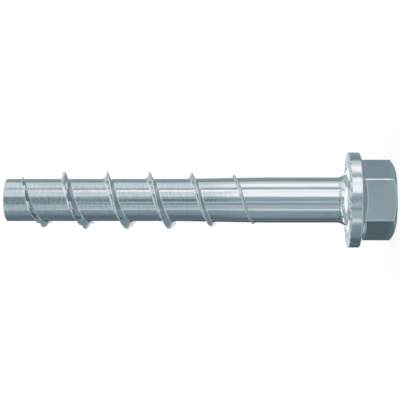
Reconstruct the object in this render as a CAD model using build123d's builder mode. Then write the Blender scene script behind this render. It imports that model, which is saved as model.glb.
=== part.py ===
from build123d import *
import os
from math import ceil, cos, radians, sin, tan

# Lengths along the axis, in millimetres
under_head_length = 100.0
head_height = 13.6

# Hexagon of the head, for a 21 mm wrench
across_flats = 20.75
hex_corner_radius = 0.55
wrench_face_diameter = 19.8
hex_chamfer_angle = 30.0

# Flange forged in one with the head
flange_diameter = 28.0
rim_thickness = 3.45
rim_back_radius = 0.35
rim_front_radius = 0.2
flange_slope = 20.0

# Locking serration pressed into the bearing face
groove_count = 30
groove_mouth_width = 1.75
groove_floor_width = 0.9
groove_depth = 0.3
plain_ring_width = 0.3

# Shank, thicker under the head than under the thread
shank_diameter = 13.3
under_head_radius = 3.2
plain_shank_length = 25.0
shank_taper_length = 23.0
core_diameter = 12.56
tip_chamfer = 0.3

# Thread, single start and right-handed
thread_diameter = 17.0
thread_pitch = 12.4
thread_angle = 45.0
crest_width = 0.3
tip_to_thread = 0.5
thread_length = 80.0
lead_in_length = 13.0
run_out_length = 31.5
thread_start_angle = 110.4
ridge_sink = 0.05
ridge_root_depth = 0.6
sections_per_turn = 12

# Saw teeth cut into the first turns of the thread
teeth_per_turn = 9
tooth_count = 16
first_tooth_turn = 0.34
tooth_gap_angle = 25.0
tooth_depth = 1.35
tooth_tilt = 15.0
tooth_cut_width = 4.4
tooth_floor_clearance = 0.1

# Heights above the flat top of the head, on which the screw stands
bearing_height = head_height
rim_back_height = bearing_height - rim_thickness
taper_start_height = bearing_height + plain_shank_length
taper_end_height = taper_start_height + shank_taper_length
tip_height = bearing_height + under_head_length
thread_start_height = tip_height - tip_to_thread

# Radii that more than one feature uses
flange_radius = flange_diameter / 2
wrench_face_radius = wrench_face_diameter / 2
shank_radius = shank_diameter / 2
core_radius = core_diameter / 2
thread_radius = thread_diameter / 2

# Turns of the thread at which its crest stops climbing, starts to fade, and ends
total_turns = thread_length / thread_pitch
lead_in_end = lead_in_length / thread_pitch
run_out_start = total_turns - run_out_length / thread_pitch


def shank_radius_at(height):
    """Radius of the bare shank at a height: thick, then a long taper, then the core."""
    share = (height - taper_start_height) / shank_taper_length
    share = min(max(share, 0.0), 1.0)
    return shank_radius + (core_radius - shank_radius) * share


def crest_height_at(turn):
    """Height of the crest line above the top of the head, some turns from its start."""
    return thread_start_height - turn * thread_pitch


def crest_angle_at(turn):
    """Direction of the crest line round the axis, in degrees."""
    return thread_start_angle - 360 * turn


def crest_radius_at(turn):
    """The crest climbs out of the core near the tip and sinks back into the shank."""
    start_radius = core_radius - ridge_sink
    end_radius = shank_radius_at(crest_height_at(total_turns)) - ridge_sink
    climb = turn / lead_in_end
    fade = (total_turns - turn) / (total_turns - run_out_start)
    climbing = start_radius + (thread_radius - start_radius) * climb
    fading = end_radius + (thread_radius - end_radius) * fade
    return min(climbing, thread_radius, fading)


def crest_plane(turn):
    """Plane through the axis and the crest, x outwards and y towards the tip."""
    angle = radians(crest_angle_at(turn))
    outwards = (cos(angle), sin(angle), 0)
    onwards = (sin(angle), -cos(angle), 0)
    return Plane(origin=(0, 0, crest_height_at(turn)), x_dir=outwards, z_dir=onwards)


def ridge_corners(turn):
    """Corners of the V-shaped section of the thread, its root buried in the core."""
    crest_radius = crest_radius_at(turn)
    root_radius = core_radius - ridge_root_depth
    half_crest = crest_width / 2
    half_root = half_crest + (crest_radius - root_radius) * tan(radians(thread_angle / 2))
    return [
        (root_radius, -half_root),
        (crest_radius, -half_crest),
        (crest_radius, half_crest),
        (root_radius, half_root),
    ]


def stretches(first, last):
    """Splits a length of thread into equal stretches of at most one turn."""
    count = ceil(last - first)
    return [first + (last - first) * i / count for i in range(count)]


# Cutter for the locking serration, one groove that runs out through the rim
groove_start_radius = shank_radius + under_head_radius + plain_ring_width
with BuildPart() as groove:
    with BuildSketch(Plane.YZ.offset(groove_start_radius)):
        with BuildLine():
            Polyline(
                (-groove_mouth_width / 2, bearing_height),
                (-groove_floor_width / 2, bearing_height - groove_depth),
                (groove_floor_width / 2, bearing_height - groove_depth),
                (groove_mouth_width / 2, bearing_height),
                close=True,
            )
        make_face()
    extrude(amount=flange_radius)

# Cutter for the saw teeth: each gap has one steep wall and one long ramp, and leans to the tip
with BuildPart() as tooth_gaps:
    for tooth in range(tooth_count):
        turn = first_tooth_turn + tooth / teeth_per_turn
        ramp_turn = turn - tooth_gap_angle / 360
        wall = crest_plane(turn)
        ramp = crest_plane(ramp_turn)
        foot = wall.origin + wall.x_dir * (crest_radius_at(turn) - tooth_depth)
        ramp_top = ramp.origin + ramp.x_dir * crest_radius_at(ramp_turn)
        lean = radians(tooth_tilt)
        across = wall.y_dir * cos(lean) - wall.x_dir * sin(lean)
        outwards = wall.x_dir * cos(lean) + wall.y_dir * sin(lean)
        cut_plane = Plane(origin=foot, x_dir=outwards, z_dir=across)
        top = cut_plane.to_local_coords(ramp_top)
        with BuildSketch(cut_plane):
            with BuildLine():
                Polyline(
                    (0, 0),
                    (2 * tooth_depth, 0),
                    (top.X + tooth_depth, top.Y),
                    (top.X, top.Y),
                    close=True,
                )
            make_face()
        extrude(amount=tooth_cut_width / 2, both=True)
    with BuildSketch(Plane.XY):
        Circle(core_radius + tooth_floor_clearance)
    extrude(amount=tip_height, mode=Mode.SUBTRACT)

# Body of the screw: hexagon, flange, shank and thread are one forged and rolled piece
with BuildPart() as concrete_screw:
    # Hexagon with rounded corners
    with BuildSketch(Plane.XY):
        RegularPolygon(radius=across_flats / 2, side_count=6, major_radius=False)
    extrude(amount=rim_back_height)
    fillet(concrete_screw.edges().filter_by(Axis.Z), radius=hex_corner_radius)

    # Cone that trims the top corners of the hexagon
    with BuildSketch(Plane.XZ):
        with BuildLine():
            cone_width = flange_radius - wrench_face_radius
            cone_rise = cone_width * tan(radians(hex_chamfer_angle))
            Polyline(
                (0, 0),
                (wrench_face_radius, 0),
                (flange_radius, cone_rise),
                (flange_radius, rim_back_height),
                (0, rim_back_height),
                close=True,
            )
        make_face()
    revolve(axis=Axis.Z, mode=Mode.INTERSECT)

    # Flange with its sloping back, the fillet under it, and the bare shank
    with BuildSketch(Plane.XZ) as side:
        with BuildLine():
            slope_width = flange_radius - shank_radius
            slope_rise = slope_width * tan(radians(flange_slope))
            Polyline(
                (0, rim_back_height - slope_rise),
                (shank_radius, rim_back_height - slope_rise),
                (flange_radius, rim_back_height),
                (flange_radius, bearing_height),
                (shank_radius, bearing_height),
                (shank_radius, taper_start_height),
                (core_radius, taper_end_height),
                (core_radius, tip_height),
                (0, tip_height),
                close=True,
            )
        make_face()
        rim_back = side.vertices().sort_by_distance((flange_radius, rim_back_height))[0]
        fillet(rim_back, rim_back_radius)
        rim_front = side.vertices().sort_by_distance((flange_radius, bearing_height))[0]
        fillet(rim_front, rim_front_radius)
        under_head = side.vertices().sort_by_distance((shank_radius, bearing_height))[0]
        fillet(under_head, under_head_radius)
        tip_edge = side.vertices().sort_by_distance((core_radius, tip_height))[0]
        chamfer(tip_edge, tip_chamfer)
    revolve(axis=Axis.Z)

    # Serration under the flange, with a groove facing each flat of the hexagon
    with PolarLocations(0, groove_count, start_angle=-90):
        add(groove.part, mode=Mode.SUBTRACT)

    # Thread: it climbs out near the tip, runs at full height, and fades into the shank
    marks = stretches(0, lead_in_end)
    marks += stretches(lead_in_end, run_out_start)
    marks += stretches(run_out_start, total_turns)
    marks.append(total_turns)
    for first, last in zip(marks, marks[1:]):
        steps = ceil((last - first) * sections_per_turn)
        for step in range(steps + 1):
            turn = first + (last - first) * step / steps
            with BuildSketch(crest_plane(turn)):
                with BuildLine():
                    Polyline(*ridge_corners(turn), close=True)
                make_face()
        loft()

    # Saw teeth on the first turns
    add(tooth_gaps.part, mode=Mode.SUBTRACT)

concrete_screw.part.label = "concrete_screw"

os.makedirs("parts", exist_ok=True)
export_step(concrete_screw.part, "parts/concrete_screw.step")
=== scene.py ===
from math import atan2, ceil, cos, degrees, hypot, pi, radians, sin, sqrt, tan

import bmesh
import bpy
from mathutils import Matrix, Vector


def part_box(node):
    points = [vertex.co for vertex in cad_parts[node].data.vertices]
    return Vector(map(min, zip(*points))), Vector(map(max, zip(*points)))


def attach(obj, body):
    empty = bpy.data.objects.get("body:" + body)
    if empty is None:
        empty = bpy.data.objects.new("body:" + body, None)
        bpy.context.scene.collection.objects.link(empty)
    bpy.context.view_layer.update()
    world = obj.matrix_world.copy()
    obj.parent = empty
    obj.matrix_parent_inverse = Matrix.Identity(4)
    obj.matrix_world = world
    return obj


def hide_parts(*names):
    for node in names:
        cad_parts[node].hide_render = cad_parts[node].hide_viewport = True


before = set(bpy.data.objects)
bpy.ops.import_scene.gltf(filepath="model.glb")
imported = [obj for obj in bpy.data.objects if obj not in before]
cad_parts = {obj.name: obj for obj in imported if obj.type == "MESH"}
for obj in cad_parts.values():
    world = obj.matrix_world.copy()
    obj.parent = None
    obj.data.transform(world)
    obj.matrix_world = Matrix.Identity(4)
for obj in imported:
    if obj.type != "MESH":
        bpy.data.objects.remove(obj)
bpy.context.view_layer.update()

# Sizes are in millimetres, and a mesh is scaled to metres when its shape is done
MM = 0.001
screw_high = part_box("concrete_screw")[1]
tip_height = screw_high.z / MM
flange_radius = screw_high.x / MM

# Hexagon and flange
head_height = 13.6
across_flats = 20.75
hex_corner_radius = 0.55
wrench_face_radius = 9.9
hex_chamfer_angle = 30.0
edge_round = 0.2
hex_foot_fillet = 0.4
rim_thickness = 3.45
rim_back_radius = 0.35
rim_front_radius = 0.2
flange_slope = 20.0
cone_ring_radii = (13.3, 12.9)

# Locking serration of the bearing face
groove_count = 30
groove_floor_half = 0.45
groove_mouth_half = 0.87
groove_lip = 0.07
groove_depth = 0.3
plain_ring_width = 0.3

# Shank
shank_radius = 6.65
core_radius = 6.28
under_head_radius = 3.2
plain_shank_length = 25.0
shank_taper_length = 23.0
tip_edge_round = 0.15

# Thread
thread_radius = 8.5
thread_pitch = 12.4
flank_angle = 22.5
toothed_flank_angle = 28.0
crest_round = 0.17
tip_to_thread = 0.5
thread_length = 80.0
lead_in_length = 13.0
run_out_length = 31.5
thread_start_angle = 110.4
ridge_sink = 0.05

# Root of the ridge: on a low ridge its fillet is a share of the height
root_fillet = 0.35
root_fillet_share = 0.16
least_fillet = 0.02
least_flank = 0.05

# Saw teeth on the first turns of the thread
teeth_per_turn = 9
tooth_count = 16
first_tooth_turn = 0.34
tooth_gap_angle = 25.0
tooth_depth = 1.35
tooth_tilt = 15.0
tooth_floor_clearance = 0.1

# Divisions round the screw: a whole number of them fits a side of the hexagon and a groove
steps_round = 300
steps_per_side = steps_round // 6
steps_per_groove = steps_round // groove_count
corner_steps = 4
chamfer_steps = 3
foot_steps = 6
flat_facing = -90.0

# Heights above the flat top of the head, on which the screw stands
bearing_height = head_height
rim_back_height = bearing_height - rim_thickness
taper_start_height = bearing_height + plain_shank_length
thread_start_height = tip_height - tip_to_thread
total_turns = thread_length / thread_pitch
lead_in_end = lead_in_length / thread_pitch
run_out_start = total_turns - run_out_length / thread_pitch

# The thread is wound from beyond the tip to past its run-out, and then cut level at both ends
first_wound_turn = -0.56
wound_turns = 8
tip_cut_height = tip_height - 0.4
join_height = thread_start_height - thread_length - 3.0

# Distances under which two corners are one, or a corner lies on a level
seam_gap = 0.0005
double_gap = 0.0002
level_gap = 0.001

# Share of a step round the screw within which a corner lies on the step
step_gap = 0.02

# Corners of a section on each side of its crest line, and the height under which a ridge looks like core
crest_corners = 3
ridge_corners = 9
faint_ridge = 0.1

# Places of the finishes in the list of materials; the last is dull zinc darkened with painted shade
ROLLED, FORGED, SERRATED, RIDGE, DULL_SHADED = range(5)

# Nearly all of a noise lies between these values
noise_middle = {"From Min": 0.3, "From Max": 0.7}

# Heights between which the marks of rolling take over from the smooth drawn shank
drawn_below = 34.0
rolled_above = 80.0


# Shape of the shank and the thread

def mix(start, end, share):
    """The value that lies a share of the way from start to end."""
    return start + (end - start) * share


def mix_points(start, end, share):
    """The point that lies a share of the way from start to end."""
    return tuple(mix(a, b, share) for a, b in zip(start, end))


def rounded_corner(start, corner, end, count):
    """Points of the curve that rounds a corner, from start to end."""
    points = []
    for index in range(count + 1):
        share = index / count
        first = mix_points(start, corner, share)
        second = mix_points(corner, end, share)
        points.append(mix_points(first, second, share))
    return points


def arc_points(centre, radius, first_angle, last_angle, count):
    """Points along an arc, with its angles in degrees."""
    points = []
    for index in range(count + 1):
        angle = radians(mix(first_angle, last_angle, index / count))
        points.append((centre[0] + radius * cos(angle), centre[1] + radius * sin(angle)))
    return points


def shank_radius_at(height):
    """Thick under the head, then a long taper, then the rolled core."""
    share = (height - taper_start_height) / shank_taper_length
    return mix(shank_radius, core_radius, min(1.0, max(0.0, share)))


def crest_height_at(turn):
    return thread_start_height - turn * thread_pitch


def crest_angle_at(turn):
    return thread_start_angle - 360 * turn


def crest_radius_at(turn):
    """The crest climbs out of the core near the tip and sinks back into the shank."""
    start = core_radius - ridge_sink
    end = shank_radius_at(crest_height_at(total_turns)) - ridge_sink
    climbing = mix(start, thread_radius, turn / lead_in_end)
    fading = mix(thread_radius, end, (turn - run_out_start) / (total_turns - run_out_start))
    return min(climbing, thread_radius, fading)


def tooth_floor_at(turn, crest):
    """Radius of the floor of a tooth gap under the crest line, or None where the ridge is whole."""
    tooth = ceil((turn - first_tooth_turn) * teeth_per_turn)
    before_face = (first_tooth_turn + tooth / teeth_per_turn - turn) * 360
    if not 0 <= tooth < tooth_count or before_face >= tooth_gap_angle:
        return None
    return crest - tooth_depth * (1 - before_face / tooth_gap_angle)


def toothed_share(turn):
    """1 on the toothed turns, falling to 0 over the quarter turn after them."""
    last_tooth_turn = first_tooth_turn + (tooth_count - 1) / teeth_per_turn
    quarter_turns_left = (last_tooth_turn - turn) * 4
    return min(1.0, max(0.0, quarter_turns_left + 1))


def ridge_side(side, turn, crest, floor):
    """Points down one flank, as offset from the crest and radius; side is 1 towards the tip, else -1."""
    height = crest_height_at(turn)
    angle = radians(flank_angle)
    if side > 0:
        angle = radians(mix(flank_angle, toothed_flank_angle, toothed_share(turn)))
    lean = side * tan(radians(tooth_tilt))
    slope = 1 / tan(angle)
    apex = crest + crest_round * (1 / sin(angle) - 1)
    base = shank_radius_at(height)
    lowest_floor = base + tooth_floor_clearance
    edge = crest_round * cos(angle)
    if floor is not None:
        meeting = (apex - floor) / (slope - lean)
        if floor - meeting * lean < lowest_floor:
            meeting = (apex - lowest_floor) / slope
        edge = max(edge, meeting)

    def radius_at(offset):
        radius = apex - offset * slope
        if offset < crest_round * cos(angle):
            radius = crest - crest_round + sqrt(crest_round**2 - offset**2)
        if floor is not None:
            radius = min(radius, max(floor - offset * lean, lowest_floor))
        return radius

    edge_radius = radius_at(edge)
    root = max(edge + least_flank, (apex - base) / slope)
    reach = min(root_fillet, root_fillet_share * max(0.0, edge_radius - base)) + least_fillet
    shoulder = (root - reach * sin(angle), base + reach * cos(angle))
    if shoulder[1] > edge_radius:
        shoulder = mix_points((edge, edge_radius), (root, base), 0.3)
    foot = root + reach
    points = [(edge * share, radius_at(edge * share)) for share in (0, 0.5, 0.85, 1)]
    points.append(mix_points((edge, edge_radius), shoulder, 0.5))
    points += rounded_corner(shoulder, (root, base), (foot, base), 4)
    points += [(mix(foot, thread_pitch / 2, share), base) for share in (0.04, 0.4, 1)]
    side_points = []
    for offset, radius in points:
        local_base = shank_radius_at(height + side * offset)
        side_points.append((side * offset, local_base + max(0.0, radius - base)))
    return side_points


def ridge_section(turn):
    """Points across one pitch of the rolled shank, from the head side over the crest to the tip side."""
    crest = crest_radius_at(turn)
    floor = tooth_floor_at(turn, crest)
    head_side = ridge_side(-1, turn, crest, floor)
    tip_side = ridge_side(1, turn, crest, floor)
    return head_side[:0:-1] + tip_side


def wind_thread(mesh):
    """Winds a strip one pitch wide down the screw, and gives each corner its place and its finish."""
    order = mesh.verts.layers.int.new("order")
    finish = mesh.verts.layers.int.new("finish")
    steps = wound_turns * steps_round
    sections = [ridge_section(first_wound_turn + step / steps_round) for step in range(steps + 1)]
    start_height = crest_height_at(first_wound_turn)
    crest_order = len(sections[0]) // 2
    corners = []
    for index, (offset, radius) in enumerate(sections[0]):
        corner = mesh.verts.new((radius, 0, start_height + offset))
        corner[order] = index
        corners.append(corner)
    edges = [mesh.edges.new(pair) for pair in zip(corners, corners[1:])]
    bmesh.ops.spin(
        mesh,
        geom=corners + edges,
        cent=(0, 0, 0),
        axis=(0, 0, 1),
        dvec=(0, 0, -thread_pitch / steps_round),
        angle=-2 * pi,
        steps=steps_round,
        use_merge=False,
    )
    one_turn = mesh.verts[:] + mesh.edges[:] + mesh.faces[:]
    for turn in range(1, wound_turns):
        copy = bmesh.ops.duplicate(mesh, geom=one_turn)["geom"]
        copied = [part for part in copy if isinstance(part, bmesh.types.BMVert)]
        bmesh.ops.translate(mesh, verts=copied, vec=(0, 0, -thread_pitch * turn))
    for corner in mesh.verts:
        first_offset = sections[0][corner[order]][0]
        step = round((start_height + first_offset - corner.co.z) / thread_pitch * steps_round)
        turn = first_wound_turn + step / steps_round
        offset, radius = sections[step][corner[order]]
        angle = radians(crest_angle_at(turn))
        corner.co = (radius * cos(angle), radius * sin(angle), crest_height_at(turn) + offset)
        from_crest = abs(corner[order] - crest_order)
        crest = crest_radius_at(turn)
        stands_out = crest > shank_radius_at(crest_height_at(turn)) + faint_ridge
        if from_crest <= ridge_corners and stands_out:
            corner[finish] = RIDGE
        # Tooth gap floors take the dull zinc whose dark colour is painted shade
        if from_crest <= crest_corners and tooth_floor_at(turn, crest):
            corner[finish] = DULL_SHADED
    bmesh.ops.remove_doubles(mesh, verts=mesh.verts, dist=seam_gap)


# Ends of the strip

def cut_level(mesh, height, keep_below):
    """Cuts the strip level at a height and returns the open rim, with its corners a step apart."""
    bmesh.ops.bisect_plane(
        mesh,
        geom=mesh.verts[:] + mesh.edges[:] + mesh.faces[:],
        dist=seam_gap,
        plane_co=(0, 0, height),
        plane_no=(0, 0, 1),
        clear_outer=keep_below,
        clear_inner=not keep_below,
    )
    place = mesh.verts.layers.int.get("place") or mesh.verts.layers.int.new("place")
    between = []
    for corner in open_rim(mesh, height):
        steps = (degrees(atan2(corner.co.y, corner.co.x)) - flat_facing) * steps_round / 360
        corner[place] = round(steps)
        if abs(steps - round(steps)) > step_gap:
            between.append(corner)
    bmesh.ops.dissolve_verts(mesh, verts=between)
    corners = set(open_rim(mesh, height))
    return [edge for edge in mesh.edges if edge.is_boundary and corners.issuperset(edge.verts)]


def open_rim(mesh, height):
    """The corners of an open edge at a height."""
    boundary = [corner for corner in mesh.verts if corner.is_boundary]
    return [corner for corner in boundary if abs(corner.co.z - height) < level_gap]


def grow(mesh, rim, ring):
    """Extrudes the rim once; ring gives each new corner its radius, angle and height by its place."""
    place = mesh.verts.layers.int["place"]
    grown = bmesh.ops.extrude_edge_only(mesh, edges=rim)["geom"]
    for part in grown:
        if isinstance(part, bmesh.types.BMVert):
            radius, angle, height = ring(part[place])
            part.co = (radius * cos(radians(angle)), radius * sin(radians(angle)), height)
    return [part for part in grown if isinstance(part, bmesh.types.BMEdge)]


def close_end(mesh, rim, height):
    """Draws the last rim together in the middle of the end face."""
    corners = {corner for edge in rim for corner in edge.verts}
    bmesh.ops.pointmerge(mesh, verts=list(corners), merge_co=(0, 0, height))


def round_ring(radius, height):
    """A plain circle."""
    return lambda place: (radius, flat_facing + place * 360 / steps_round, height)


def groove_ring(radius, height):
    """A circle of the bearing face or its rim, pressed in where it crosses a groove."""
    half_period = radius * radians(180 / groove_count)
    lip_start = groove_mouth_half - groove_lip
    lip_end = groove_mouth_half + groove_lip
    lip_depth = groove_depth * groove_lip / (groove_mouth_half - groove_floor_half)
    land = mix(lip_end, half_period, 0.5)
    across = (0, groove_floor_half, lip_start, lip_end, land, half_period)
    depths = (groove_depth, groove_depth, lip_depth, 0, 0, 0)

    def ring(place):
        groove = round(place / steps_per_groove)
        local = place - groove * steps_per_groove
        turned = degrees(across[abs(local)] / radius)
        angle = flat_facing + groove * 360 / groove_count + (turned if local > 0 else -turned)
        return radius, angle, min(height, bearing_height - depths[abs(local)])

    return ring


def hexagon_point(place):
    """Radius and angle of the hexagon's rounded outline, which starts at the middle of a flat."""
    side = round(place / steps_per_side)
    local = place - side * steps_per_side
    flat_steps = steps_per_side // 2 - corner_steps
    flat_half = (across_flats / 2 - hex_corner_radius) * tan(radians(30))
    turned = radians(max(0, abs(local) - flat_steps) * 30 / corner_steps)
    along = min(1.0, abs(local) / flat_steps) * flat_half + hex_corner_radius * sin(turned)
    out = across_flats / 2 - hex_corner_radius * (1 - cos(turned))
    angle = degrees(atan2(along, out))
    return hypot(along, out), flat_facing + side * 60 + (angle if local > 0 else -angle)


def hexagon_ring(point_at):
    """A ring round the hexagon; point_at gives radius and height where the hexagon has a radius."""
    def ring(place):
        hex_radius, angle = hexagon_point(place)
        radius, height = point_at(hex_radius)
        return radius, angle, height

    return ring


def chamfer_points(hex_radius):
    """The rounded edge between the chamfer of the wrench face and the side of the hexagon."""
    slope = radians(hex_chamfer_angle)
    corner = (hex_radius, (hex_radius - wrench_face_radius) * tan(slope))
    start = (corner[0], corner[1] + edge_round)
    end = (corner[0] - edge_round * cos(slope), corner[1] - edge_round * sin(slope))
    return rounded_corner(start, corner, end, chamfer_steps)


def foot_points(hex_radius):
    """The fillet between the cone of the flange and the side of the hexagon."""
    slope = radians(flange_slope)
    corner = (hex_radius, rim_back_height - (flange_radius - hex_radius) * tan(slope))
    start = (corner[0] + hex_foot_fillet * cos(slope), corner[1] + hex_foot_fillet * sin(slope))
    end = (corner[0], corner[1] - hex_foot_fillet)
    return rounded_corner(start, corner, end, foot_steps)


def edge_point(points_at, index):
    """One point of a rounded edge of the hexagon."""
    return lambda hex_radius: points_at(hex_radius)[index]


def side_point(share):
    """A point up the side of the hexagon, between its two rounded edges."""
    def point_at(hex_radius):
        return mix_points(foot_points(hex_radius)[-1], chamfer_points(hex_radius)[0], share)

    return point_at


def shank_rings():
    """From the end of the thread down the plain shank and out over the fillet under the head."""
    fillet_end = bearing_height + under_head_radius
    rings = [round_ring(shank_radius, mix(join_height, fillet_end, step / 6)) for step in range(1, 7)]
    centre = (shank_radius + under_head_radius, fillet_end)
    rings += [round_ring(*point) for point in arc_points(centre, under_head_radius, 180, 270, 16)[1:]]
    return rings


def flange_rings():
    """Across the serrated bearing face, over the rim, and up the cone on its back."""
    groove_start = shank_radius + under_head_radius + plain_ring_width
    front_centre = (flange_radius - rim_front_radius, bearing_height - rim_front_radius)
    rings = [round_ring(groove_start, bearing_height)]
    for share in (0.03, 0.35, 0.7, 0.95):
        rings.append(groove_ring(mix(groove_start, flange_radius, share), bearing_height))
    rings += [groove_ring(*point) for point in arc_points(front_centre, rim_front_radius, 90, 0, 3)]
    for share in (0.15, 0.4, 0.7):
        rings.append(round_ring(flange_radius, mix(bearing_height, rim_back_height, share)))
    back_centre = (flange_radius - rim_back_radius, rim_back_height + rim_back_radius)
    back_points = arc_points(back_centre, rim_back_radius, 0, flange_slope - 90, 6)
    rings += [round_ring(*point) for point in back_points]
    cone_radius, cone_height = back_points[-1]
    for radius in cone_ring_radii:
        rise = (cone_radius - radius) * tan(radians(flange_slope))
        rings.append(round_ring(radius, cone_height - rise))
    return rings


def hexagon_rings():
    """Up the sides of the hexagon, over its chamfer and across the flat top."""
    rings = [hexagon_ring(edge_point(foot_points, index)) for index in range(foot_steps + 1)]
    rings += [hexagon_ring(side_point(share)) for share in (0.3, 0.65)]
    rings += [hexagon_ring(edge_point(chamfer_points, index)) for index in range(chamfer_steps + 1)]
    slope = radians(hex_chamfer_angle)
    start = (wrench_face_radius + edge_round * cos(slope), edge_round * sin(slope))
    edge = (wrench_face_radius, 0)
    end = (wrench_face_radius - edge_round, 0)
    rings += [round_ring(*point) for point in rounded_corner(start, edge, end, chamfer_steps)]
    rings += [round_ring(wrench_face_radius * share, 0) for share in (0.95, 0.7, 0.4, 0.15)]
    return rings


def tip_rings():
    """Over the rounded edge of the tip and across its sheared end."""
    centre = (core_radius - tip_edge_round, tip_height - tip_edge_round)
    rings = [round_ring(core_radius, mix(tip_cut_height, centre[1], share)) for share in (0.8, 1)]
    rings += [round_ring(*point) for point in arc_points(centre, tip_edge_round, 0, 90, 4)[1:]]
    rings += [round_ring(centre[0] * share, tip_height) for share in (0.97, 0.6, 0.2)]
    return rings


def build_screw():
    """The whole screw as one closed mesh: the thread is wound, and both ends grow out of its rims."""
    mesh = bmesh.new()
    wind_thread(mesh)
    rim = cut_level(mesh, tip_cut_height, keep_below=True)
    for ring in tip_rings():
        rim = grow(mesh, rim, ring)
    close_end(mesh, rim, tip_height)
    rim = cut_level(mesh, join_height, keep_below=False)
    for ring in shank_rings() + flange_rings() + hexagon_rings():
        rim = grow(mesh, rim, ring)
    close_end(mesh, rim, 0)
    bmesh.ops.remove_doubles(mesh, verts=mesh.verts, dist=double_gap)
    bmesh.ops.recalc_face_normals(mesh, faces=mesh.faces)
    choose_finish(mesh)
    return mesh


def make_piece(name, mesh, materials, sharp_angle=32):
    """Turns a mesh in millimetres into an object at the origin, smooth but for its sharp edges."""
    bmesh.ops.scale(mesh, vec=(MM, MM, MM), verts=mesh.verts)
    for face in mesh.faces:
        face.smooth = True
    for edge in mesh.edges:
        edge.smooth = len(edge.link_faces) != 2 or edge.calc_face_angle() < radians(sharp_angle)
    data = bpy.data.meshes.new(name)
    mesh.to_mesh(data)
    mesh.free()
    for material in materials:
        data.materials.append(material)
    piece = bpy.data.objects.new(name, data)
    bpy.context.scene.collection.objects.link(piece)
    return piece


# Materials

def linear(code):
    """The linear colour of an sRGB hex value."""
    shares = [int(code[index : index + 2], 16) / 255 for index in (1, 3, 5)]
    parts = [((share + 0.055) / 1.055) ** 2.4 if share > 0.04045 else share / 12.92 for share in shares]
    return (*parts, 1.0)


def add_node(tree, kind, settings=None, links=None):
    """Adds a shader node with its settings, which are properties or input values, and its links."""
    node = tree.nodes.new("ShaderNode" + kind)
    for name, value in (settings or {}).items():
        if name in node.bl_rna.properties.keys():
            setattr(node, name, value)
        else:
            node.inputs[name].default_value = value
    for name, source in (links or {}).items():
        tree.links.new(source, node.inputs[name])
    return node


def new_material(name):
    material = bpy.data.materials.new(name)
    material.use_nodes = True
    material.node_tree.nodes.clear()
    return material, material.node_tree


def object_pattern(tree, feature_size):
    """Noise stretched to a feature size in millimetres along X, Y and Z of the object."""
    place = add_node(tree, "TexCoord")
    stretch = tuple(1 / (size * MM) for size in feature_size)
    scaled = add_node(tree, "Mapping", {"Scale": stretch}, {"Vector": place.outputs["Object"]})
    grain = {"Scale": 1.0, "Detail": 3.0, "Roughness": 0.55}
    noise = add_node(tree, "TexNoise", grain, {"Vector": scaled.outputs["Vector"]})
    return noise.outputs["Fac"]


def height_share(tree, start, end):
    """0 below one height of the screw and 1 above another, both in millimetres."""
    place = add_node(tree, "TexCoord")
    parts = add_node(tree, "SeparateXYZ", {}, {"Vector": place.outputs["Object"]})
    heights = {"interpolation_type": "SMOOTHSTEP", "From Min": start * MM, "From Max": end * MM}
    share = add_node(tree, "MapRange", heights, {"Value": parts.outputs["Z"]})
    return share.outputs["Result"]


def zinc_surface(tree, shades, roughness, clouds, relief, relief_height, dulling=None, anisotropy=0.0):
    """Bright zinc: its colour clouds between two shades, its roughness follows the clouds or the dulling
    between two values, and the relief lies in its surface with a height in millimetres."""
    share = add_node(tree, "MapRange", noise_middle, {"Value": clouds})
    ends = {"Color1": linear(shades[0]), "Color2": linear(shades[1])}
    colour = add_node(tree, "MixRGB", ends, {"Fac": share.outputs["Result"]})
    limits = {"To Min": roughness[0], "To Max": roughness[1]}
    finish = add_node(tree, "MapRange", limits, {"Value": dulling or share.outputs["Result"]})
    bump = add_node(tree, "Bump", {"Strength": 1.0, "Distance": relief_height * MM}, {"Height": relief})
    shader = add_node(
        tree,
        "BsdfPrincipled",
        {"Metallic": 1.0, "Anisotropic": anisotropy, "Anisotropic Rotation": 0.25},
        {
            "Base Color": colour.outputs["Color"],
            "Roughness": finish.outputs["Result"],
            "Normal": bump.outputs["Normal"],
        },
    )
    if anisotropy:
        around = add_node(tree, "Tangent", {"direction_type": "RADIAL", "axis": "Z"})
        tree.links.new(around.outputs["Tangent"], shader.inputs["Tangent"])
    add_node(tree, "OutputMaterial", {}, {"Surface": shader.outputs["BSDF"]})


def rolled_zinc_plated_steel():
    """Drawn wire whose thread is rolled: the dies leave fine marks round the core, which fade out towards
    the smooth shank, and the zinc over both is streaked lengthwise, so the light on it is a little uneven.
    The real marks are finer than a pixel, so these are drawn coarse enough to show."""
    material, tree = new_material("rolled_zinc_plated_steel")
    rolled = height_share(tree, drawn_below, rolled_above)
    rolling_marks = object_pattern(tree, (2.2, 2.2, 0.7))
    drawing_marks = object_pattern(tree, (0.6, 0.6, 30.0))
    streaks = object_pattern(tree, (0.45, 0.45, 9.0))
    faint = {**noise_middle, "To Min": 0.45, "To Max": 0.55}
    faint_marks = add_node(tree, "MapRange", faint, {"Value": drawing_marks})
    marks = {"Factor": rolled, 2: faint_marks.outputs["Result"], 3: rolling_marks}
    relief = add_node(tree, "Mix", {"data_type": "FLOAT"}, marks).outputs[0]
    nearly_even = {"data_type": "FLOAT", "Factor": 0.55}
    clouds = add_node(tree, "Mix", nearly_even, {2: streaks, 3: relief}).outputs[0]
    shades = ("#BEC4C9", "#DCDFE1")
    zinc_surface(tree, shades, (0.06, 0.11), clouds, relief, 0.03, dulling=rolled, anisotropy=0.6)
    return material


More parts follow.
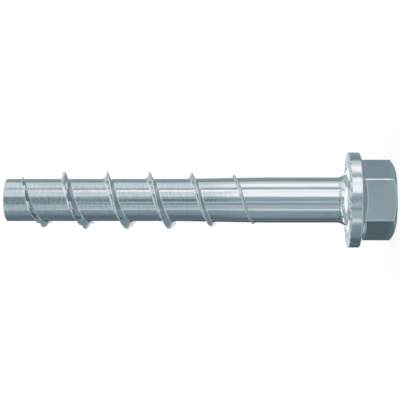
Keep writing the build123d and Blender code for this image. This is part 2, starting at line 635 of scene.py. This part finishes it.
def forged_zinc_plated_steel():
    """The head is cold forged in a polished die and then plated: smooth, with faint marks round the rim,
    which are drawn coarser than the real ones so that they show."""
    material, tree = new_material("forged_zinc_plated_steel")
    rim = height_share(tree, rim_back_height - 0.5, rim_back_height + 0.3)
    marks = object_pattern(tree, (5.0, 5.0, 0.5))
    faint = {**noise_middle, "To Min": 0.46, "To Max": 0.54}
    faint_marks = add_node(tree, "MapRange", faint, {"Value": marks})
    rim_marks = add_node(tree, "MapRange", noise_middle, {"Value": marks})
    either = {"Factor": rim, 2: faint_marks.outputs["Result"], 3: rim_marks.outputs["Result"]}
    relief = add_node(tree, "Mix", {"data_type": "FLOAT"}, either).outputs[0]
    clouds = object_pattern(tree, (5.0, 5.0, 5.0))
    zinc_surface(tree, ("#CACFD2", "#D3D6D9"), (0.08, 0.12), clouds, relief, 0.02)
    return material


def serrated_zinc_plated_steel():
    """The bearing face is pressed rough between its grooves, so it shines softly."""
    material, tree = new_material("serrated_zinc_plated_steel")
    relief = object_pattern(tree, (0.5, 0.5, 0.5))
    clouds = object_pattern(tree, (1.0, 1.0, 1.0))
    zinc_surface(tree, ("#C8CCD0", "#D9DCDF"), (0.1, 0.2), clouds, relief, 0.1)
    return material


def ridge_zinc_plated_steel():
    """The dies roll the ridge of the thread smooth, so the lines of light along it are clean."""
    material, tree = new_material("ridge_zinc_plated_steel")
    clouds = object_pattern(tree, (3.0, 3.0, 3.0))
    zinc_surface(tree, ("#C6CBCF", "#D8DCDF"), (0.14, 0.18), clouds, clouds, 0.005)
    return material


def dull_zinc_painted_shade():
    """A rougher die presses the floors of tooth gaps and grooves, so the zinc there is dull; its dark
    shades are painted shade in these hollows.
    """
    material, tree = new_material("dull_zinc_painted_shade")
    relief = object_pattern(tree, (0.6, 0.6, 0.6))
    # Dark shades: painted shade in the floors of tooth gaps and grooves
    zinc_surface(tree, ("#707C83", "#828E95"), (0.34, 0.42), relief, relief, 0.01)
    return material


def choose_finish(mesh):
    """Gives each face its corners' finish, or that of the head, the bearing face or a groove's floor."""
    finish = mesh.verts.layers.int["finish"]
    serration_start = shank_radius + under_head_radius
    floor_low = bearing_height - groove_depth - 0.01
    floor_high = bearing_height - groove_depth / 2
    for face in mesh.faces:
        centre = face.calc_center_median()
        on_head = centre.z < bearing_height + level_gap
        faces_tip = face.normal.z > 0.2
        lies_level = face.normal.z > 0.9
        face.material_index = min(corner[finish] for corner in face.verts)
        if centre.z < bearing_height - level_gap:
            face.material_index = FORGED
        if on_head and faces_tip and hypot(centre.x, centre.y) > serration_start:
            face.material_index = SERRATED
        # Groove floors take the dull zinc whose dark colour is painted shade
        if lies_level and floor_low < centre.z < floor_high:
            face.material_index = DULL_SHADED


# Studio

# Radius of the tent, height of its middle, and brightness of its plain cloth
tent_radius = 1500.0
tent_centre = 57.0
tent_shade = 0.5

# Tints of the tent's shade and of its lights, and the brightness from which a patch is a light
shade_tint = (0.64, 1.01, 1.16)
light_tint = (1.0, 1.0, 1.0)
full_light = 1.1

# Floor, world and camera, with distances in millimetres
floor_radius = 3000.0
paper_shade = 0.45
paper_glow = 0.74
world_light = 0.6
camera_lens = 92.2
camera_shift = -0.1425
camera_place = (0, -302.0, 40.2)


def shine(around, level, glow, edge=3):
    """A soft-edged patch of the tent: degrees round the screw, with 0 at the camera and +X on the minus
    side, degrees above the level, brightness at both its sides, and width of its soft edge."""
    return around, level, glow, edge


# Bright side of the studio, the dark behind it, and the shaded side
studio_sides = [
    shine((-124, -19), (-90, 62), (0.78, 0.85), 6),
    shine((-124, -50), (-90, -38), (0.7, 0.76), 6),
    shine((-50, -19), (-90, -38), (0.56, 0.44), 4),
    shine((-180, -110), (-36, 18), (0.46, 0.41), 4),
    shine((-130, -112), (-12, -5.5), (0.38, 0.38), 2),
    shine((-178, -148), (-52, -14), (0.34, 0.36), 6),
    shine((-180, -112), (20, 62), (0.72, 0.62), 8),
    shine((-18, 14), (-90, 62), (0.5, 0.5)),
    shine((14, 60), (-90, 62), (0.63, 0.63)),
    shine((-19, 36), (-90, -40), (0.43, 0.56), 6),
    shine((60, 110), (-90, 62), (0.43, 0.26), 4),
    shine((62, 110), (-5, 2), (0.46, 0.38), 2),
    shine((56, 66), (3, 16), (0.44, 0.44), 2),
    shine((166, 194), (-58, -45), (0.8, 0.8), 4),
    shine((104, 142), (-90, 62), (0.22, 0.235), 6),
    shine((139, 172), (-90, 62), (0.17, 0.05), 6),
    shine((112, 128), (-12, -5), (0.165, 0.165), 2),
    shine((60, 180), (-90, -36), (0.57, 0.29), 8),
    shine((146, 166), (-38, -24), (0.4, 0.48), 4),
    shine((60, 156), (36, 62), (0.64, 0.64), 4),
    shine((140, 180), (32, 62), (0.68, 0.75), 4),
    shine((-15, 28), (34, 62), (0.56, 0.62), 6),
    shine((24, 58), (20, 62), (0.62, 0.62), 4),
    shine((24, 58), (42, 62), (0.95, 0.85), 6),
]

# Dark round the camera, seen in the middle of the screw
dark_round_camera = [
    shine((-5, 9), (4.2, 9), (0.17, 0.17), 2.5),
    shine((-14, 24), (12.6, 17), (0.22, 0.22), 1.5),
]

# Window behind, seen over and under the shank
window_behind = [
    shine((160, 200), (4, 32), (1.25, 1.25), 4),
    shine((160, 178), (-28, -9), (1.05, 1.05), 4),
]

# Tall softbox on the bright side, brightest where it stands low, and its frame
tall_softbox = [
    shine((-105.5, -92.5), (-14, 14), (0.88, 1.02), 2),
    shine((-92.5, -66), (-14, 14), (1.25, 1.25), 3),
    shine((-87, -74), (-14, 14), (1.45, 1.4), 3),
    shine((-72, -66), (-14, 14), (1.0, 0.85), 3),
    shine((-105.5, -66), (3.2, 9), (0.85, 0.91), 2),
    shine((-106, -66), (9, 15), (0.82, 0.9), 2),
    shine((-106.5, -66), (15, 62), (1.02, 1.08), 3),
    shine((-104, -68), (34, 62), (1.1, 1.2), 8),
    shine((-66, -55.5), (-90, 7), (0.6, 0.6), 2),
    shine((-68, -55.5), (6, 50), (0.62, 0.62), 2),
    shine((-66, -55.5), (16, 50), (0.8, 0.8), 4),
]

# Second softbox, nearer to the camera
second_softbox = [
    shine((-54, -19), (-38, 62), (0.95, 0.95), 2),
    shine((-42, -19), (4, 10), (0.87, 0.87), 2),
    shine((-54, -17.5), (-15, 3), (1.24, 1.24), 2),
    shine((-37, -17.5), (-15, 3), (1.42, 1.36), 2),
    shine((-16.5, -9), (-15, 4), (0.82, 0.54), 2),
    shine((-17, -7), (8, 12.2), (0.7, 0.6), 2),
    shine((-7, 18), (9.2, 12.2), (0.55, 0.53), 2),
    shine((-4, 4), (-12, -5), (0.38, 0.6), 1),
    shine((-55, -24), (33, 62), (1.42, 1.42), 6),
    shine((-54, -45.5), (-15, 11), (1.44, 1.44), 1.5),
]

# Reflectors by the camera and over the table
reflectors = [
    shine((5.5, 15.5), (-12, 3), (0.69, 0.69), 2),
    shine((10, 16), (3, 9), (0.74, 0.74), 2),
    shine((5.5, 16), (19, 60), (0.8, 0.8), 4),
    shine((16, 25), (-12, 9), (0.44, 0.44), 2),
    shine((16, 25), (4, 9), (0.36, 0.36), 2),
    shine((88, 108), (3, 16), (0.26, 0.2), 3),
    shine((50, 112), (-35, -25), (1.15, 1.15), 3),
    shine((112, 140), (-34, -24), (0.8, 0.8), 4),
    shine((-24, 40), (-36, -24), (1.1, 1.1), 4),
    shine((46, 54), (-16, 2), (1.0, 1.0), 2),
    shine((46, 54), (2, 12), (0.78, 0.78), 2),
    shine((-18, 26), (18, 31), (0.66, 0.74), 4),
    shine((36, 64), (20, 32), (1.1, 1.15), 4),
]

# Curved reflector that draws a thin arc of light in the fillet under the head
curved_reflector = [
    shine((108, 166), (20, 44), (0.56, 0.56), 4),
    shine((52, 92), (25, 33), (1.45, 1.3), 2),
    shine((105, 126), (26, 33), (1.35, 1.4), 2),
    shine((124, 138), (21, 29), (1.5, 1.5), 2),
    shine((137, 150), (18, 22), (1.2, 1.2), 2),
]

# Softbox over the tip of the screw
tip_softbox = [
    shine((-180, 180), (60, 90), (1.35, 1.35), 4),
    shine((-180, 180), (68, 90), (1.6, 1.6), 4),
    shine((130, 180), (44, 76), (0.78, 0.7), 6),
    shine((160, 200), (46, 57), (0.58, 0.58), 4),
]

# A patch of a later group lies over those before it
tent_patches = studio_sides + dark_round_camera + window_behind + tall_softbox
tent_patches += second_softbox + reflectors + curved_reflector + tip_softbox


def within(value, first, last, edge):
    """1 between first and last, 0 outside, with a smooth edge of that width."""
    share = min(1.0, max(0.0, min(value - first, last - value) / edge + 0.5))
    return share * share * (3 - 2 * share)


def tent_brightness(round_angle, level_angle):
    """Brightness of the tent in one direction; a patch that reaches a pole has no soft edge there."""
    brightness = tent_shade
    for (first, last), (low, high), (glow_first, glow_last), edge in tent_patches:
        upper = 100 if high == 90 else high
        lower = -100 if low == -90 else low
        level_share = within(level_angle, lower, upper, edge)
        for angle in (round_angle, round_angle + 360):
            share = 1.0 if last - first == 360 else within(angle, first, last, edge)
            along = min(1.0, max(0.0, (angle - first) / (last - first)))
            brightness = mix(brightness, mix(glow_first, glow_last, along), share * level_share)
    return brightness


def tent_colour(brightness):
    """The shade in the tent is a little blue, and its lights are white."""
    tint = mix_points(shade_tint, light_tint, min(1.0, brightness / full_light))
    return (*(part * brightness for part in tint), 1.0)


def show_only_in_metal(light):
    """The piece is seen as a reflection, and neither by the camera nor by matt surfaces."""
    light.visible_camera = False
    light.visible_diffuse = False
    light.visible_shadow = False
    light.visible_transmission = False
    light.visible_volume_scatter = False


def build_tent():
    """A light tent round the screw: only the metal sees it, as what it reflects."""
    mesh = bmesh.new()
    bmesh.ops.create_uvsphere(mesh, u_segments=240, v_segments=120, radius=tent_radius)
    glow = mesh.verts.layers.float_color.new("glow")
    for corner in mesh.verts:
        x, y, z = corner.co
        round_angle = degrees(atan2(-x, -y))
        level_angle = degrees(atan2(z, hypot(x, y)))
        corner[glow] = tent_colour(tent_brightness(round_angle, level_angle))
    bmesh.ops.translate(mesh, verts=mesh.verts, vec=(0, 0, tent_centre))
    material, tree = new_material("light_tent")
    painted = add_node(tree, "Attribute", {"attribute_type": "GEOMETRY", "attribute_name": "glow"})
    light = add_node(tree, "Emission", {"Strength": 1.0}, {"Color": painted.outputs["Color"]})
    add_node(tree, "OutputMaterial", {}, {"Surface": light.outputs["Emission"]})
    material.cycles.emission_sampling = "NONE"
    tent = make_piece("light_tent", mesh, [material])
    show_only_in_metal(tent)


def build_floor():
    """A pale floor of paper: where no shadow falls, its own light and the lit paper add up to white."""
    mesh = bmesh.new()
    bmesh.ops.create_circle(mesh, cap_ends=True, segments=96, radius=floor_radius)
    material, tree = new_material("studio_floor")
    paper = add_node(tree, "BsdfDiffuse", {"Color": (paper_shade, paper_shade, paper_shade, 1.0)})
    path = add_node(tree, "LightPath")
    seen = add_node(tree, "MapRange", {"To Max": paper_glow}, {"Value": path.outputs["Is Camera Ray"]})
    glow = add_node(tree, "Emission", {"Color": (1, 1, 1, 1)}, {"Strength": seen.outputs["Result"]})
    both = add_node(tree, "AddShader", {}, {0: paper.outputs["BSDF"], 1: glow.outputs["Emission"]})
    add_node(tree, "OutputMaterial", {}, {"Surface": both.outputs["Shader"]})
    floor = make_piece("studio_floor", mesh, [material])
    floor.visible_glossy = False


def build_world():
    """An even soft light, which the camera, metal and glass see as white."""
    world = bpy.data.worlds.new("studio_world")
    world.use_nodes = True
    tree = world.node_tree
    tree.nodes.clear()
    path = add_node(tree, "LightPath")
    camera_or_metal = {0: path.outputs["Is Camera Ray"], 1: path.outputs["Is Glossy Ray"]}
    seen = add_node(tree, "Math", {"operation": "MAXIMUM"}, camera_or_metal)
    or_glass = {0: seen.outputs["Value"], 1: path.outputs["Is Transmission Ray"]}
    through = add_node(tree, "Math", {"operation": "MAXIMUM"}, or_glass)
    strength = add_node(tree, "MapRange", {"To Min": world_light}, {"Value": through.outputs["Value"]})
    white = {"Color": (1, 1, 1, 1)}
    light = add_node(tree, "Background", white, {"Strength": strength.outputs["Result"]})
    add_node(tree, "OutputWorld", {}, {"Surface": light.outputs["Background"]})
    bpy.context.scene.world = world


def add_camera():
    """The camera looks square at the side of the screw, with image left towards the tip."""
    data = bpy.data.cameras.new("camera")
    data.sensor_width = 36.0
    data.lens = camera_lens
    data.shift_x = camera_shift
    camera = bpy.data.objects.new("camera", data)
    image_right, image_up, towards_camera = (0, 0, -1), (1, 0, 0), (0, -1, 0)
    turned = Matrix((image_right, image_up, towards_camera)).transposed()
    place = [distance * MM for distance in camera_place]
    camera.matrix_world = Matrix.Translation(place) @ turned.to_4x4()
    bpy.context.scene.collection.objects.link(camera)
    bpy.context.scene.camera = camera


# The screw, in the order of the finishes' places, and the studio round it
finishes = [
    rolled_zinc_plated_steel(),
    forged_zinc_plated_steel(),
    serrated_zinc_plated_steel(),
    ridge_zinc_plated_steel(),
    dull_zinc_painted_shade(),
]
screw = make_piece("zinc_plated_screw", build_screw(), finishes)
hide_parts("concrete_screw")
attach(screw, "root")
build_tent()
build_floor()
build_world()
add_camera()
bpy.context.scene.view_settings.view_transform = "Standard"
